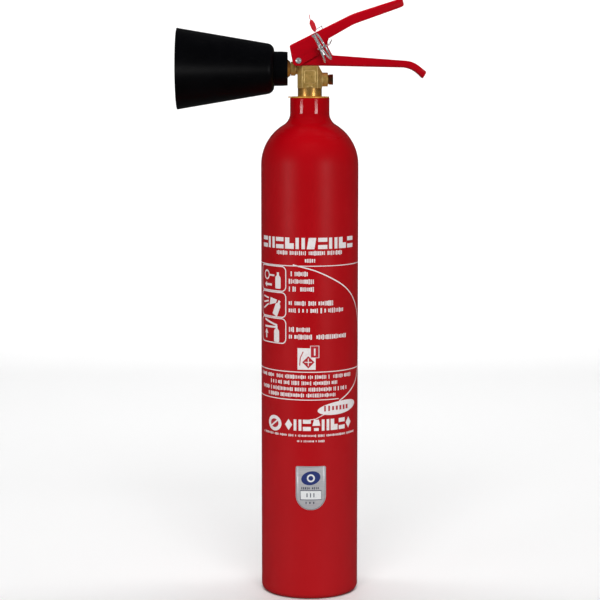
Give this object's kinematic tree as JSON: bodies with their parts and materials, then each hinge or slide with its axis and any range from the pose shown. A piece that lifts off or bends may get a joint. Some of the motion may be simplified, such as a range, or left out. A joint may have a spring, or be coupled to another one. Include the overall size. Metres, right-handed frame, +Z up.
{
  "type": "fire extinguisher",
  "caption": "Portable carbon dioxide fire extinguisher: tall red cylinder, squeeze-grip brass valve, pinned lever, handle and rigid horn.",
  "frame": {"origin": "on the cylinder's axis, at the plane that its foot stands on", "axes": "+Z up along the cylinder; the horn points to -X, the lever and handle to +X; the printed front and the pin's ring face -Y"},
  "size_m": [0.259, 0.1025, 0.6251],
  "materials": {
    "red_enamel_shell": "red gloss enamel over an aluminium shell",
    "red_enamel_steel": "red gloss enamel over pressed steel sheet",
    "brass_forging": "as-forged brass, machined faces",
    "brass_turned": "turned brass",
    "bare_steel": "bright drawn steel",
    "spring_steel": "oiled spring steel",
    "black_horn": "satin black moulded plastic",
    "nylon_white": "natural nylon",
    "black_rubber": "moulded rubber",
    "seal_red": "red moulded plastic",
    "gold_tab": "gold-coloured anodised sheet",
    "sticker_film": "silver printed film",
    "tube_aluminium": "drawn aluminium tube"
  },
  "bodies": {
    "vessel": {"cylinder": "red_enamel_shell", "service_ring": "gold_tab", "valve_body": "brass_forging", "discharge_nozzle": "brass_turned", "horn_gasket": "black_rubber", "horn_collar": "black_horn", "horn": "black_horn", "burst_disc": "brass_turned", "burst_disc_washer": "nylon_white", "burst_disc_plug": "brass_turned", "gland_nut": "brass_turned", "spindle_o_ring": "black_rubber", "spring_retainer": "brass_turned", "valve_spring": "spring_steel", "dip_tube": "tube_aluminium", "carrying_handle": "red_enamel_steel", "lever_pivot_rivet": "bare_steel", "shield_sticker": "sticker_film"},
    "lever": {"operating_lever": "red_enamel_steel", "tamper_seal": "seal_red", "seal_wire": "bare_steel"},
    "spindle": {"valve_spindle": "bare_steel", "valve_seat_insert": "nylon_white", "spindle_cap": "bare_steel"},
    "pin": {"safety_pin": "bare_steel"},
    "ring": {"pull_ring": "bare_steel"}
  },
  "joints": [
    {"name": "lever_hinge", "type": "hinge", "parent": "vessel", "child": "lever", "pos_m": [-0.0117, 0, 0.5613], "axis": [0, 1, 0], "range_deg": [0, 12], "stiffness_Nm_per_rad": 3, "springref_deg": -5.73},
    {"name": "spindle_slide", "type": "slide", "parent": "vessel", "child": "spindle", "axis": [0, 0, -1], "range_m": [0, 0.0046], "deforming": ["valve_spring"]},
    {"name": "pin_slide", "type": "slide", "parent": "lever", "child": "pin", "axis": [0, -1, 0], "range_m": [0, 0.04]},
    {"name": "ring_swing", "type": "hinge", "parent": "pin", "child": "ring", "pos_m": [0.0115, -0.0215, 0.5745], "axis": [0.4695, 0, -0.8829], "range_deg": [-70, 70]}
  ],
  "couplings": [
    {"joint": "spindle_slide", "follows": "lever_hinge", "m_per_rad": 0.0215}
  ]
}
